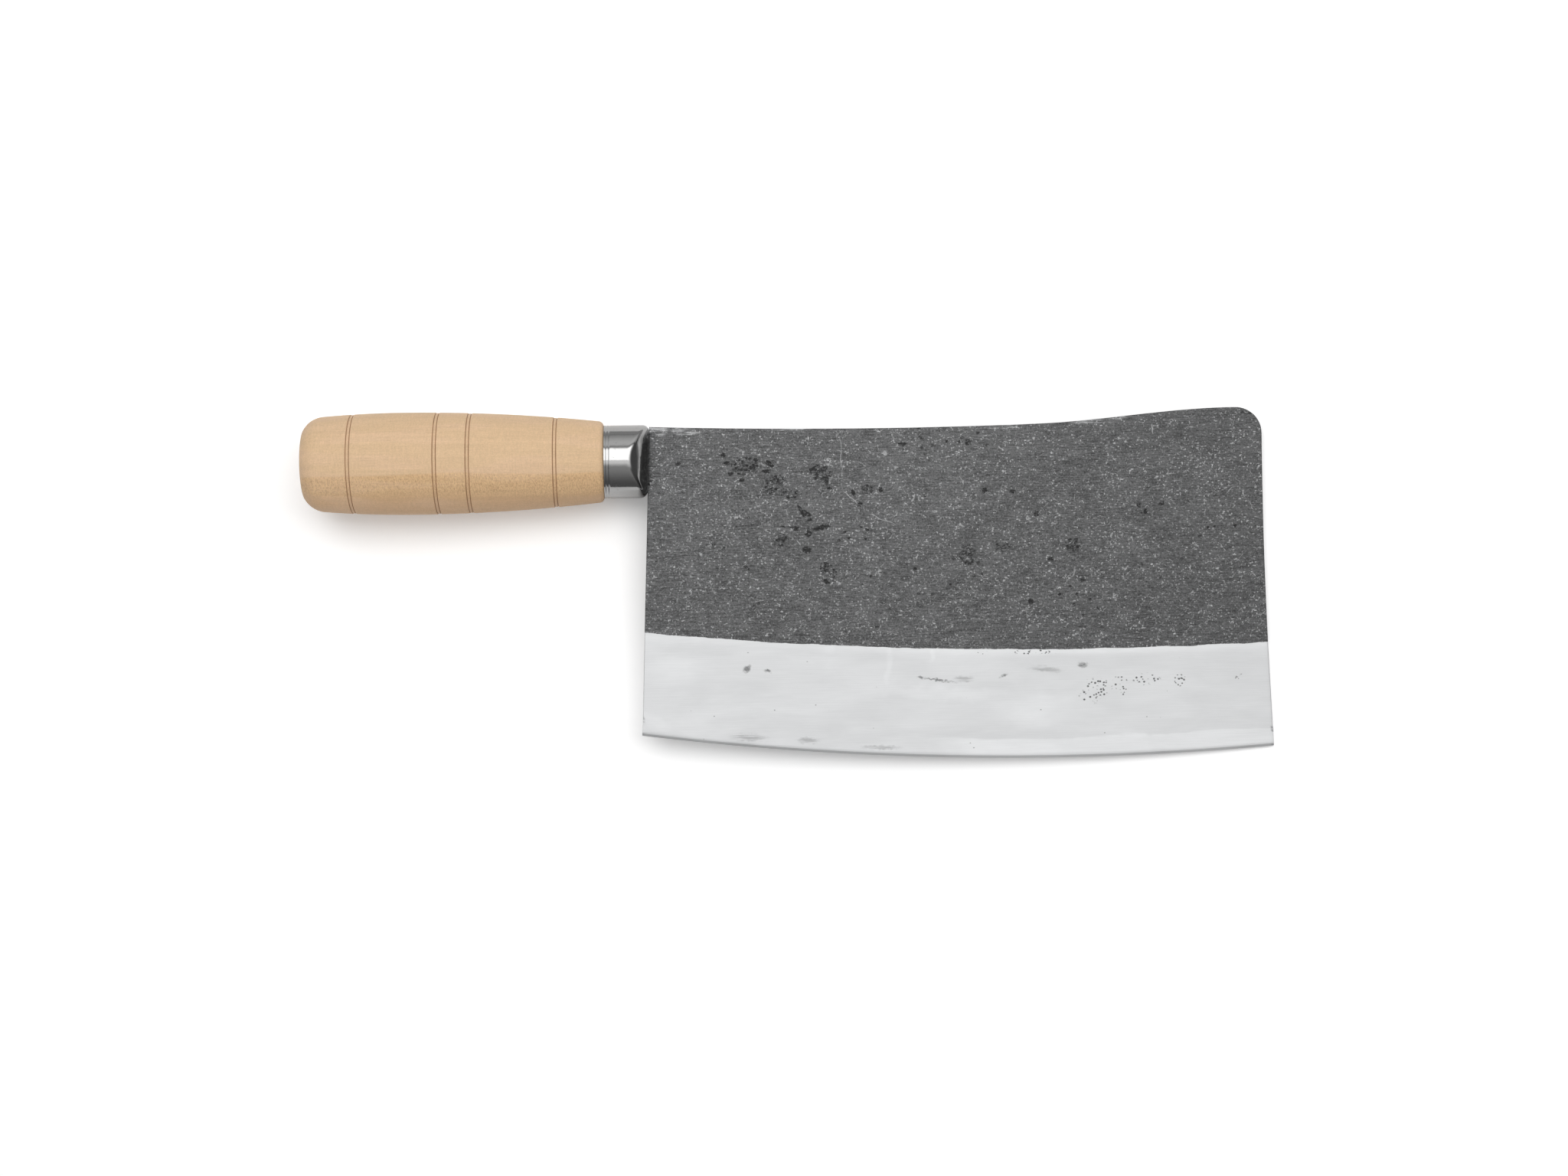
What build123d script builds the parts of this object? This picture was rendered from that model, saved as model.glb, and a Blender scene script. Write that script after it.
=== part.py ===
from build123d import *

import os
from math import radians, sqrt, tan

os.makedirs("parts", exist_ok=True)

# A heavy kitchen cleaver lying on its side, as it comes to rest on a table. Lengths are in millimetres.
# The knife has a frame of its own, in which everything is drawn: x runs along the handle's axis from the
# ferrule's front to the blade's front, y runs up to the spine, z out of the cheek that faces up.

# Outline of the blade
blade_length = 210.8            # from the ferrule's front to the front edge
spine_height = 11.6             # spine above the handle's axis, at the heel
spine_dip = 1.1                 # sag of the spine's rear stretch
spine_rise = 5.1                # how much higher the spine ends at the front
spine_swell_share = 0.63        # where along the blade the spine begins to rise
spine_corner_radius = 9.0
heel_depth = 93.1               # cutting edge below the handle's axis, at the heel
heel_angle = 2.0                # degrees that the heel leans back under the handle
toe_depth = 100.1               # cutting edge below the handle's axis, at the toe
toe_reach = 3.5                 # how far the toe stands ahead of the front edge's top
edge_radius = 1030.0            # curve of the cutting edge

# Section of the blade
spine_thickness = 4.2
bevel_thickness = 3.2           # blade at the top of the ground bevel
bevel_width_heel = 35.2
bevel_width_toe = 35.9
bevel_line_radius = 1435.0      # curve of the bevel's top
edge_thickness = 0.6            # bevel just above the honed edge
edge_land = 0.1                 # flat left on the edge itself
hone_angle = 17.0               # degrees on each side
steel_thickness = 1.0           # hard steel inserted along the edge
steel_depth = 22.0

# Tang
tang_inset = 0.4                # step from the blade's thickest cheek to the tang
tang_root = 10.0                # height where it leaves the blade
tang_tip = 5.0                  # height where it leaves the handle
tang_gap = 0.15                 # play around the tang
clinch_thickness = 2.4
clinch_length = 6.0             # bent-over end, past the tang
clinch_bend = 1.6
clinch_sink = 0.8               # bent-over end below the butt's crown

# Ferrule
ferrule_length = 15.0
ferrule_radius = 12.4
ferrule_wall = 0.8
ferrule_end = 1.4               # thickness of its closed end
ferrule_corner = 2.4
bead_width = 1.8                # plain band behind the turned line
bead_line = 0.2
nose_length = 6.3               # how far back the flattened nose begins
nose_thickness = 3.2            # where it runs out, at the corners of the cap's front
nose_bulge = 19.0               # radius of the nose's slope, seen from the side
nose_sweep = 55.0               # radius of the nose's slope, seen from above

# Handle
handle_length = 101.3           # wood behind the ferrule
belly_radius = 17.2
belly_from_butt = 36.5
shoulder_radius = 13.6
shoulder_round = 1.8
butt_radius = 16.0              # wood where the butt's rounding begins
butt_length = 7.5               # from the crown to the start of that rounding
crown_radius = 11.9
crown_height = 1.1
tenon_length = 7.5
tenon_gap = 0.1
ring_places = (17.4, 45.8, 56.6, 85.2)      # from the butt
ring_width = 1.3
ring_depth = 0.3

# How far a cut runs past what it cuts
overrun = 2.0

# Places on the blade
heel_slope = tan(radians(heel_angle))
spine_top = spine_height + spine_rise
heel_spine = Vector(spine_height * heel_slope, spine_height)
heel_edge = Vector(-heel_depth * heel_slope, -heel_depth)
spine_swell = Vector(blade_length * spine_swell_share, spine_height)
corner_start = Vector(blade_length - spine_corner_radius, spine_top)
corner_end = Vector(blade_length, spine_top - spine_corner_radius)
toe = Vector(blade_length + toe_reach, -toe_depth)
bevel_heel = heel_edge + Vector(0, bevel_width_heel)
bevel_toe = Vector(blade_length, bevel_width_toe - toe_depth)

# The cheeks are flat and lean together from the spine towards the bevel.
bevel_drop = spine_height - (bevel_heel.Y + bevel_toe.Y) / 2
cheek_slope = (spine_thickness - bevel_thickness) / 2 / bevel_drop
bevel_slope = (bevel_thickness - edge_thickness) / (bevel_width_heel + bevel_width_toe)
tang_thickness = spine_thickness - 2 * tang_inset

# Places on the handle
butt_x = -ferrule_length - handle_length
belly = Vector(butt_x + belly_from_butt, belly_radius)
shoulder = Vector(-ferrule_length, shoulder_radius)
butt_edge = Vector(butt_x + butt_length, butt_radius)
crown_edge = Vector(butt_x + crown_height, crown_radius)
tenon_radius = ferrule_radius - ferrule_wall - tenon_gap
tenon_end = tenon_length - ferrule_length
clinch_outer = butt_x + clinch_sink
clinch_floor = clinch_outer + clinch_thickness
clinch_reach = tang_tip / 2 + clinch_length
nose_front = ferrule_radius * heel_slope


def arc_centre(left, right, radius):
    """Centre, on the spine's side, of the arc of this radius from left to right."""
    chord = right - left
    height = sqrt(radius**2 - chord.length**2 / 4)
    return (left + right) / 2 + Vector(-chord.Y, chord.X).normalized() * height


def front_x(y):
    """Place of the blade's front edge at height y, on its arc down to the toe."""
    fall = toe - corner_end
    arc = fall.length**2 / 2 / fall.X
    return corner_end.X + arc - sqrt(arc**2 - (corner_end.Y - y) ** 2)


def cheek_height(y):
    """Half the blade's thickness between its cheeks, at height y."""
    return spine_thickness / 2 - cheek_slope * (spine_height - y)


def belly_arc(end):
    """Radius of the arc that leaves the handle's belly level and runs to a point of its profile."""
    reach = end - belly
    return reach.length**2 / 2 / -reach.Y


def wood_radius(x):
    """Radius of the handle at x, on the arcs either side of its belly."""
    arc = belly_arc(shoulder if x > belly.X else butt_edge)
    return belly_radius - arc + sqrt(arc**2 - (x - belly.X) ** 2)


edge_centre = arc_centre(heel_edge, toe, edge_radius)
bevel_centre = arc_centre(bevel_heel, bevel_toe, bevel_line_radius)
lowest_x = min(max(edge_centre.X, heel_edge.X), toe.X)
edge_lowest = edge_centre.Y - sqrt(edge_radius**2 - (lowest_x - edge_centre.X) ** 2)

# The table touches the lower cheek at both ends of the front edge's straight stretch, and the belly of the
# handle a little ahead of its thickest place. Three rounds settle where the belly touches.
upper_touch = Vector(corner_end.X, corner_end.Y, -cheek_height(corner_end.Y))
lower_touch = Vector(front_x(bevel_toe.Y), bevel_toe.Y, -cheek_height(bevel_toe.Y))
front_arc = belly_arc(shoulder)
table_up = Vector(0, 0, 1)
for _ in range(3):
    touch_x = belly.X - front_arc * table_up.X
    belly_touch = Vector(touch_x, 0, 0) - table_up * wood_radius(touch_x)
    table_up = (lower_touch - belly_touch).cross(upper_touch - belly_touch).normalized()

# The object's frame has +Z up from the table, +X along the handle towards the blade, and its origin on the
# table under the middle of the object's box.
table_side = table_up.cross(Vector(1, 0, 0))
box_middle = Vector(butt_x + toe.X, belly_radius + edge_lowest) / 2
drop_to_table = (box_middle - belly_touch).dot(table_up)
table = Plane(
    origin=box_middle - table_up * drop_to_table,
    x_dir=table_side.cross(table_up),
    z_dir=table_up,
)
knife = Plane(table.location.inverse())
handle_axis = Axis(knife.origin, knife.x_dir)
end_view = Plane(origin=knife.origin, x_dir=knife.y_dir, z_dir=knife.x_dir)
heel_plane = Plane(
    origin=knife.origin,
    x_dir=knife.z_dir,
    z_dir=knife.x_dir - knife.y_dir * heel_slope,
)


def upright(x, y):
    """Axis square to the blade through a point of its outline's plane."""
    return Axis(knife.from_local_coords((x, y, 0)), knife.z_dir)


def radial_view(x, y, away):
    """Plane square to the blade through an upright axis: x runs away from the axis, y out of the upper cheek.

    What is turned on the axis is drawn on the far side of it, so that its seam misses the knife.
    """
    return Plane(
        origin=knife.from_local_coords((x, y, 0)),
        x_dir=away,
        z_dir=away.cross(knife.z_dir),
    )


def grind(centre, inner, outer, slope):
    """Turn away, on both sides, what stands over a slope that falls from inner to outer."""
    (inner_radius, inner_height), (outer_radius, outer_height) = inner, outer
    for side in (1, -1):
        with BuildSketch(radial_view(centre.X, centre.Y, knife.y_dir)) as waste:
            with BuildLine():
                Polyline(
                    (inner_radius - overrun, side * (inner_height + slope * overrun)),
                    (outer_radius, side * outer_height),
                    (outer_radius, side * spine_thickness),
                    (inner_radius - overrun, side * spine_thickness),
                    close=True,
                )
            make_face()
        revolve(waste.sketch, axis=upright(centre.X, centre.Y), mode=Mode.SUBTRACT)


def whole_blade():
    """Blade of body and steel together, without its tang."""
    with BuildSketch(knife) as outline:
        with BuildLine():
            rear = SagittaArc(heel_spine, spine_swell, -spine_dip)
            Spline(spine_swell, corner_start, tangents=(rear % 1, (1, 0)))
            TangentArc(corner_start, corner_end, tangent=(1, 0))
            TangentArc(corner_end, toe, tangent=(0, -1))
            RadiusArc(toe, heel_edge, edge_radius)
            Line(heel_edge, heel_spine)
        make_face()
    extrude(outline.sketch, amount=spine_thickness, both=True)
    top = spine_top + overrun
    bottom = edge_lowest - overrun
    with BuildSketch(end_view) as section:
        with BuildLine():
            Polyline(
                (top, cheek_height(top)),
                (top, -cheek_height(top)),
                (bottom, -cheek_height(bottom)),
                (bottom, cheek_height(bottom)),
                close=True,
            )
        make_face()
    extrude(section.sketch, amount=toe.X + overrun, both=True, mode=Mode.INTERSECT)

    bevel_outer = bevel_line_radius + (bevel_width_heel + bevel_width_toe) / 2 + overrun
    bevel_fall = bevel_slope * (bevel_outer - bevel_line_radius)
    grind(
        bevel_centre,
        (bevel_line_radius, bevel_thickness / 2),
        (bevel_outer, bevel_thickness / 2 - bevel_fall),
        bevel_slope,
    )
    hone_slope = tan(radians(hone_angle))
    hone_width = (edge_thickness - edge_land) / 2 / hone_slope
    grind(
        edge_centre,
        (edge_radius - hone_width, edge_thickness / 2),
        (edge_radius, edge_land / 2),
        hone_slope,
    )


def steel_slot(mode):
    """Slot along the edge that the hard steel fills."""
    with BuildSketch(knife) as ring:
        with Locations((edge_centre.X, edge_centre.Y)):
            Circle(edge_radius + overrun)
            Circle(edge_radius - steel_depth, mode=Mode.SUBTRACT)
    extrude(ring.sketch, amount=steel_thickness / 2, both=True, mode=mode)


def tang_channel():
    """Room for the tang, through the ferrule's end and the handle's wood."""
    with BuildSketch(knife) as channel:
        with BuildLine():
            Polyline(
                (overrun, tang_root / 2 + tang_gap),
                (clinch_floor, tang_tip / 2 + tang_gap),
                (clinch_floor, -tang_tip / 2 - tang_gap),
                (overrun, -tang_root / 2 - tang_gap),
                close=True,
            )
        make_face()
    half_room = tang_thickness / 2 + tang_gap
    extrude(channel.sketch, amount=half_room, both=True, mode=Mode.SUBTRACT)


def nose_form(inset):
    """Flatten the ferrule's nose from both sides, inset from its outside by a wall."""
    rear = nose_sweep - ferrule_length - overrun
    front = Vector(nose_sweep + nose_front, ferrule_radius).length
    top = ferrule_radius + overrun
    rim = Vector(nose_sweep - nose_length - inset, ferrule_radius - inset)
    lip = Vector(front - inset, nose_thickness / 2 - inset)
    chord = (lip - rim).length
    bulge = nose_bulge - sqrt(nose_bulge**2 - chord**2 / 4)
    with BuildSketch(radial_view(-nose_sweep, 0, -knife.x_dir)) as form:
        with BuildLine():
            Polyline((rear, 0), (rear, top), (rim.X, top), rim)
            SagittaArc(rim, lip, bulge)
            Polyline(lip, (front + overrun, lip.Y), (front + overrun, 0))
            mirror(about=Plane.XZ)
        make_face()
    revolve(form.sketch, axis=upright(-nose_sweep, 0), mode=Mode.INTERSECT)


# Body of the blade: soft steel, with the tang drawn out of it and bent over at the butt
with BuildPart() as blade_body:
    whole_blade()
    steel_slot(Mode.SUBTRACT)
    with BuildSketch(knife) as tang:
        with BuildLine():
            Polyline(
                (overrun, tang_root / 2),
                (0, tang_root / 2),
                (clinch_floor, tang_tip / 2),
                (clinch_outer, tang_tip / 2),
                (clinch_outer, -clinch_reach),
                (clinch_floor, -clinch_reach),
                (clinch_floor, -tang_tip / 2),
                (0, -tang_root / 2),
                (overrun, -tang_root / 2),
                close=True,
            )
        make_face()
        bend = tang.vertices().sort_by_distance((clinch_outer, tang_tip / 2))[0]
        fillet(bend, clinch_bend)
    extrude(amount=tang_thickness / 2, both=True)

# Hard steel along the edge
with BuildPart() as edge_steel:
    whole_blade()
    steel_slot(Mode.INTERSECT)

# Hollow of the ferrule, one wall inside its outer form
with BuildPart() as ferrule_hollow:
    with BuildSketch(knife):
        with BuildLine():
            Polyline(
                (-ferrule_length - overrun, 0),
                (-ferrule_length - overrun, ferrule_radius - ferrule_wall),
                (-ferrule_end, ferrule_radius - ferrule_wall),
                (-ferrule_end, 0),
                close=True,
            )
        make_face()
    revolve(axis=handle_axis)
    nose_form(ferrule_wall)

# Ferrule: a drawn cap, its closed end flattened towards the blade and ending along the heel
with BuildPart() as ferrule:
    with BuildSketch(knife) as cap:
        with BuildLine():
            Polyline(
                (-ferrule_length, 0),
                (-ferrule_length, ferrule_radius),
                (nose_front, ferrule_radius),
                (nose_front, 0),
                close=True,
            )
        make_face()
        front = cap.vertices().sort_by_distance((nose_front, ferrule_radius))[0]
        fillet(front, ferrule_corner)
        with Locations((bead_width - ferrule_length, ferrule_radius)):
            Circle(bead_line, mode=Mode.SUBTRACT)
    revolve(axis=handle_axis)
    nose_form(0)
    split(bisect_by=heel_plane, keep=Keep.BOTTOM)
    add(ferrule_hollow.part, mode=Mode.SUBTRACT)
    tang_channel()

# Handle: one turned piece of wood with its tenon, four cut rings, and a pocket for the bent-over tang
with BuildPart() as handle:
    with BuildSketch(knife) as turning:
        with BuildLine():
            back = TangentArc(belly, butt_edge, tangent=(-1, 0))
            TangentArc(butt_edge, crown_edge, tangent=back % 1)
            TangentArc((butt_x, 0), crown_edge, tangent=(0, 1))
            TangentArc(belly, shoulder, tangent=(1, 0))
            Polyline(
                shoulder,
                (-ferrule_length, tenon_radius),
                (tenon_end, tenon_radius),
                (tenon_end, 0),
                (butt_x, 0),
            )
        make_face()
        corner = turning.vertices().sort_by_distance(shoulder)[0]
        fillet(corner, shoulder_round)
        for place in ring_places:
            with Locations((butt_x + place, wood_radius(butt_x + place))):
                Rectangle(ring_width, 2 * ring_depth, mode=Mode.SUBTRACT)
    revolve(axis=handle_axis)
    tang_channel()
    pocket_top = tang_tip / 2 + tang_gap
    pocket_bottom = -clinch_reach - tang_gap
    with BuildSketch(knife):
        with BuildLine():
            Polyline(
                (clinch_floor, pocket_top),
                (butt_x - overrun, pocket_top),
                (butt_x - overrun, pocket_bottom),
                (clinch_floor, pocket_bottom),
                close=True,
            )
        make_face()
    extrude(amount=tang_thickness / 2 + tang_gap, both=True, mode=Mode.SUBTRACT)

blade_body.part.label = "blade_body"
edge_steel.part.label = "edge_steel"
ferrule.part.label = "ferrule"
handle.part.label = "handle"

for piece in (blade_body, edge_steel, ferrule, handle):
    export_step(piece.part, f"parts/{piece.part.label}.step")
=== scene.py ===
from math import asin, atan2, cos, hypot, pi, radians, sin, sqrt, tan

import bmesh
import bpy
import numpy as np
from mathutils import Matrix, Vector, noise


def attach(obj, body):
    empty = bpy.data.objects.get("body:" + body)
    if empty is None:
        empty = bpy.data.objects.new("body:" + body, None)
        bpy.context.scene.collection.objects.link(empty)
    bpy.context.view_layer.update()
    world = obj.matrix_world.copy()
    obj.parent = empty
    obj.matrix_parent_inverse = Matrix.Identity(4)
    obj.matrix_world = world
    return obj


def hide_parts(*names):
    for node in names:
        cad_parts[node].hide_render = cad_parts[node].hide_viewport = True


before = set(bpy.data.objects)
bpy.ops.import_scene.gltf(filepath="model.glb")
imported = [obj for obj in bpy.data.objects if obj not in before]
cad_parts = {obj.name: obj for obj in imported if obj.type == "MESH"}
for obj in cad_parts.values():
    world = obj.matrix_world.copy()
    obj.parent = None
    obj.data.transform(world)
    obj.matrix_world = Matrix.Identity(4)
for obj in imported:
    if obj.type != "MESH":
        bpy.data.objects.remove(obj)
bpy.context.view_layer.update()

MM = 0.001

# The knife's own frame, in which everything is drawn in millimetres: x runs along the handle's axis from
# the ferrule's front to the blade's front, y runs up to the spine, z out of the cheek that faces up.
KNIFE_ORIGIN = (-48.9116, 42.8471, 13.6814)
KNIFE_PITCH = asin(0.05529)
KNIFE_ROLL = asin(0.005684)
knife = (
    Matrix.Translation(Vector(KNIFE_ORIGIN) * MM)
    @ Matrix.Rotation(KNIFE_PITCH, 4, "Y")
    @ Matrix.Rotation(KNIFE_ROLL, 4, "X")
    @ Matrix.Scale(MM, 4)
)

# Outline of the blade
BLADE_LENGTH = 210.8
SPINE_HEIGHT = 11.6
SPINE_DIP = 1.1
SPINE_RISE = 5.1
SWELL_X = 132.8
CORNER_RADIUS = 9.0
HEEL_SLOPE = tan(radians(2.0))
HEEL_DEPTH = 93.1
TOE = np.array((214.3, -100.1))
EDGE_RADIUS = 1030.0
BEVEL_HEEL = np.array((-3.25, -57.9))
BEVEL_TOE = np.array((210.8, -64.2))
BEVEL_RADIUS = 1435.0

# Section of the blade
CHEEK_HALF = 2.1
CHEEK_SLOPE = 0.5 / 72.65
BEVEL_HALF = 1.6
BEVEL_SLOPE = 2.6 / 71.1
STEEL_HALF = 0.5
HONE_WIDTH = 0.82
HONE_BLUR = 0.06
HONE_HALF = 0.3
EDGE_HALF = 0.05

# Rounded rims of the blade, and the nicks along its spine
SPINE_RIM, FRONT_RIM, HEEL_RIM, STEEL_RIM = 0.5, 0.35, 0.3, 0.12
RIM_SHARE = 0.8
RIM_STEPS = 4
SPINE_NICKS = (26.5, 52.4, 141.0)
NICK_HALF = 1.6
NICK_DEPTH = 0.5

# Relief of the forged cheeks and the ground bevels
SCALE_RELIEF = 0.07
GROUND_RELIEF = 0.012
MEAN_SINK = 0.9
SCALE_FADE = 2

# Points along the blade's lines, as they are drawn and as they are spaced evenly
SPINE_POINTS, SWELL_POINTS, CORNER_POINTS, FRONT_POINTS, RING_POINTS = 200, 120, 30, 100, 900
RING_REACH = (-5, 216)
COLUMNS = 198
CHEEK_ROWS, BEVEL_ROWS, STEEL_ROWS = 68, 28, 8

# Handle and ferrule
FERRULE_LENGTH = 15.0
FERRULE_RADIUS = 12.4
HANDLE_LENGTH = 101.3
BUTT_X = -FERRULE_LENGTH - HANDLE_LENGTH
RING_PLACES = (17.4, 45.8, 56.6, 85.2)
RING_HALF = 0.52


def arc_centre(left, right, radius):
    """Centre, on the spine's side, of the arc of this radius from left to right."""
    chord = right - left
    half = hypot(*chord) / 2
    rise = np.array((-chord[1], chord[0])) / (2 * half)
    return (left + right) / 2 + rise * sqrt(radius**2 - half**2)


HEEL_SPINE = np.array((SPINE_HEIGHT * HEEL_SLOPE, SPINE_HEIGHT))
HEEL_EDGE = np.array((-HEEL_DEPTH * HEEL_SLOPE, -HEEL_DEPTH))
EDGE_CENTRE = arc_centre(HEEL_EDGE, TOE, EDGE_RADIUS)
BEVEL_CENTRE = arc_centre(BEVEL_HEEL, BEVEL_TOE, BEVEL_RADIUS)
CORNER = np.array((BLADE_LENGTH - CORNER_RADIUS, SPINE_HEIGHT + SPINE_RISE - CORNER_RADIUS))


def wave(x, y, size, seed=0.0):
    """Smooth noise from about -1 to 1 at a place, with features of this size."""
    return noise.noise(Vector((x / size, y / size, seed)))


# Meshes

def finish_mesh(name, vertices, faces, sharp=40.0, attributes=None):
    """Object of a mesh drawn in the knife's frame, riding on the part's one body."""
    mesh = bpy.data.meshes.new(name)
    places = np.c_[vertices, np.ones(len(vertices))] @ np.array(knife).T
    mesh.from_pydata(places[:, :3].tolist(), [], faces)
    for key, values in (attributes or {}).items():
        mesh.attributes.new(key, "FLOAT", "POINT").data.foreach_set("value", values)
    shape = bmesh.new()
    shape.from_mesh(mesh)
    bmesh.ops.remove_doubles(shape, verts=shape.verts, dist=2e-7)
    bmesh.ops.dissolve_degenerate(shape, edges=shape.edges, dist=1e-7)
    bmesh.ops.recalc_face_normals(shape, faces=shape.faces)
    shape.to_mesh(mesh)
    shape.free()
    mesh.shade_smooth()
    mesh.set_sharp_from_angle(angle=radians(sharp))
    piece = bpy.data.objects.new(name, mesh)
    bpy.context.collection.objects.link(piece)
    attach(piece, "root")
    return piece


def resample(points, count):
    """The same line as count points, evenly spaced along it."""
    points = np.asarray(points)
    along = np.r_[0, np.cumsum(np.hypot(*np.diff(points, axis=0).T))]
    wanted = np.linspace(0, along[-1], count)
    return np.c_[np.interp(wanted, along, points[:, 0]), np.interp(wanted, along, points[:, 1])]


def front_x(y):
    """Place of the front edge at height y, on its arc down to the toe."""
    fall = TOE - np.array((BLADE_LENGTH, CORNER[1]))
    arc = (fall @ fall) / 2 / fall[0]
    return BLADE_LENGTH + arc - np.sqrt(arc**2 - (CORNER[1] - y) ** 2)


def spine_line():
    """The spine from the heel to the middle of its front corner."""
    rear = np.linspace(HEEL_SPINE[0], SWELL_X, SPINE_POINTS)
    chord = SWELL_X - HEEL_SPINE[0]
    radius = (chord**2 / 4 + SPINE_DIP**2) / 2 / SPINE_DIP
    middle = (SWELL_X + HEEL_SPINE[0]) / 2
    low = SPINE_HEIGHT - SPINE_DIP + radius - np.sqrt(radius**2 - (rear - middle) ** 2)
    t = np.linspace(0, 1, SWELL_POINTS)[1:]
    reach = CORNER[0] - SWELL_X
    slope = chord / 2 / radius
    rise = SPINE_HEIGHT + (t**3 - 2 * t**2 + t) * reach * slope + (3 * t**2 - 2 * t**3) * SPINE_RISE
    turn = np.radians(np.linspace(90, 45, CORNER_POINTS))[1:]
    corner = CORNER + CORNER_RADIUS * np.c_[np.cos(turn), np.sin(turn)]
    return np.r_[np.c_[rear, low], np.c_[SWELL_X + t * reach, rise], corner]


def front_line(low):
    """The front from the middle of its upper corner down to a height."""
    turn = np.radians(np.linspace(45, 0, CORNER_POINTS))
    corner = CORNER + CORNER_RADIUS * np.c_[np.cos(turn), np.sin(turn)]
    y = np.linspace(CORNER[1], low, FRONT_POINTS)[1:]
    return np.r_[corner, np.c_[front_x(y), y]]


def ring_line(centre, radius, ripple=None):
    """Line across the blade at this distance from a centre, from the heel to the front."""
    x = np.linspace(*RING_REACH, RING_POINTS)
    y = centre[1] - np.sqrt(radius**2 - (x - centre[0]) ** 2)
    if ripple:
        y = y + np.array([ripple(a) for a in x])
    left = np.argmin(np.abs(x - HEEL_SLOPE * y))
    right = np.argmin(np.abs(x - front_x(y)))
    return np.c_[x, y][left : right + 1]


def weld_ripple(x):
    """Wander of the line where the hard steel comes out of the softer body, up being positive."""
    return 1.1 * wave(x, 0, 26, 3.1) + 0.5 * wave(x, 0, 7, 5.7) + 0.18 * wave(x, 0, 2.2, 8.2)


def coons(top, bottom, left, right):
    """Grid of points between four lines that meet at their ends; top and bottom run left to right."""
    v = np.linspace(0, 1, len(left))[:, None, None]
    u = np.linspace(0, 1, len(top))[None, :, None]
    corners = (
        (1 - u) * (1 - v) * top[0] + u * (1 - v) * top[-1] + (1 - u) * v * bottom[0] + u * v * bottom[-1]
    )
    return (1 - v) * top[None] + v * bottom[None] + (1 - u) * left[:, None] + u * right[:, None] - corners


def half_thickness(x, y):
    """Half the blade's thickness at a place, from its flat cheeks, ground bevels and honed edge."""
    cheek = CHEEK_HALF - CHEEK_SLOPE * (SPINE_HEIGHT - y)
    bevel = BEVEL_HALF - BEVEL_SLOPE * (np.hypot(x - BEVEL_CENTRE[0], y - BEVEL_CENTRE[1]) - BEVEL_RADIUS)
    from_edge = EDGE_RADIUS - np.hypot(x - EDGE_CENTRE[0], y - EDGE_CENTRE[1])
    hone = EDGE_HALF + (HONE_HALF - EDGE_HALF) * from_edge / HONE_WIDTH
    return np.minimum(np.minimum(cheek, bevel), np.maximum(hone, EDGE_HALF))


def forged_sink(x, y, side):
    """How far the hammered and ground surface lies below its true plane, in millimetres."""
    below = hypot(x - BEVEL_CENTRE[0], y - BEVEL_CENTRE[1]) - BEVEL_RADIUS
    if below < 0:
        dents = wave(x, y, 19, 2.0 + side) * 0.6 + wave(x, y, 8, 6.0 + side) * 0.4
        return SCALE_RELIEF * (MEAN_SINK + dents)
    ground = GROUND_RELIEF * (MEAN_SINK + wave(x / 3, y, 5, 9.0 + side))
    return ground + SCALE_RELIEF * MEAN_SINK * max(0.0, 1 - below / SCALE_FADE)


def rim_loop(high, wide):
    """Places around the rim of a grid, and each one's side: 0 top, 1 front, 2 bottom and 3 heel."""
    loop = [(0, i) for i in range(wide)]
    loop += [(j, wide - 1) for j in range(1, high)]
    loop += [(high - 1, i) for i in range(wide - 2, -1, -1)]
    loop += [(j, 0) for j in range(high - 2, 0, -1)]
    sides = [0] * wide + [1] * (high - 1) + [2] * (wide - 1) + [3] * (high - 2)
    return loop, sides


def rim_radii(edge, sides, rounding):
    """Radius of the rounding at each point of the rim, the smaller of two where two sides meet."""
    radius = [rounding[s](p[0]) if callable(rounding[s]) else rounding[s] for s, p in zip(sides, edge)]
    radius = np.array(radius)
    for k in range(1, len(sides)):
        if sides[k] != sides[k - 1]:
            radius[k] = radius[k - 1] = min(radius[k], radius[k - 1])
    return np.minimum(radius, RIM_SHARE * half_thickness(edge[:, 0], edge[:, 1]))


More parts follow.
